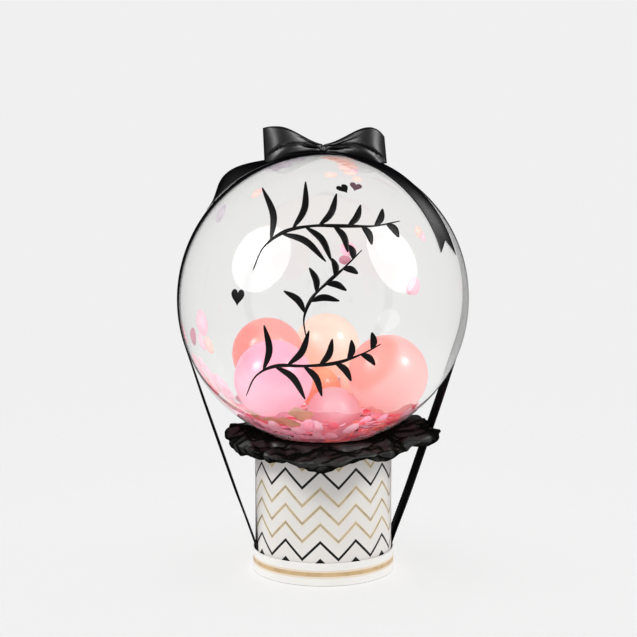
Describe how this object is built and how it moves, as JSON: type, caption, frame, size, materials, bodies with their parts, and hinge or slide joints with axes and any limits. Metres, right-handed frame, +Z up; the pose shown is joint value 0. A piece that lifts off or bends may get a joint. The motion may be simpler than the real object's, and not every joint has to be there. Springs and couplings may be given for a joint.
{
  "type": "clear bubble balloon on a gift box",
  "caption": "Clear bubble balloon seated in black tissue on a round chevron gift box, tied down with a satin ribbon strap under a satin bow.",
  "frame": {"origin": "middle of the underside of the tray that the box stands in", "axes": "+Z up through the box and the bubble, -Y out of the front, where the lettering's place and the bow's face are, +X to the right of someone facing the front"},
  "size_m": [0.4222, 0.4192, 0.6451],
  "materials": {
    "clear_film": "clear glossy plastic film",
    "printed_paper": "satin white paper with black and gold foil chevrons",
    "tray_paper": "satin white paper with a gold foil band",
    "black_tissue": "matte crumpled tissue",
    "black_satin": "glossy black satin"
  },
  "bodies": {
    "root": {"bubble": "clear_film", "gift_box": "printed_paper", "lid_tray": "tray_paper", "tissue_collar": "black_tissue", "ribbon_strap": "black_satin", "bow": "black_satin"}
  },
  "joints": []
}
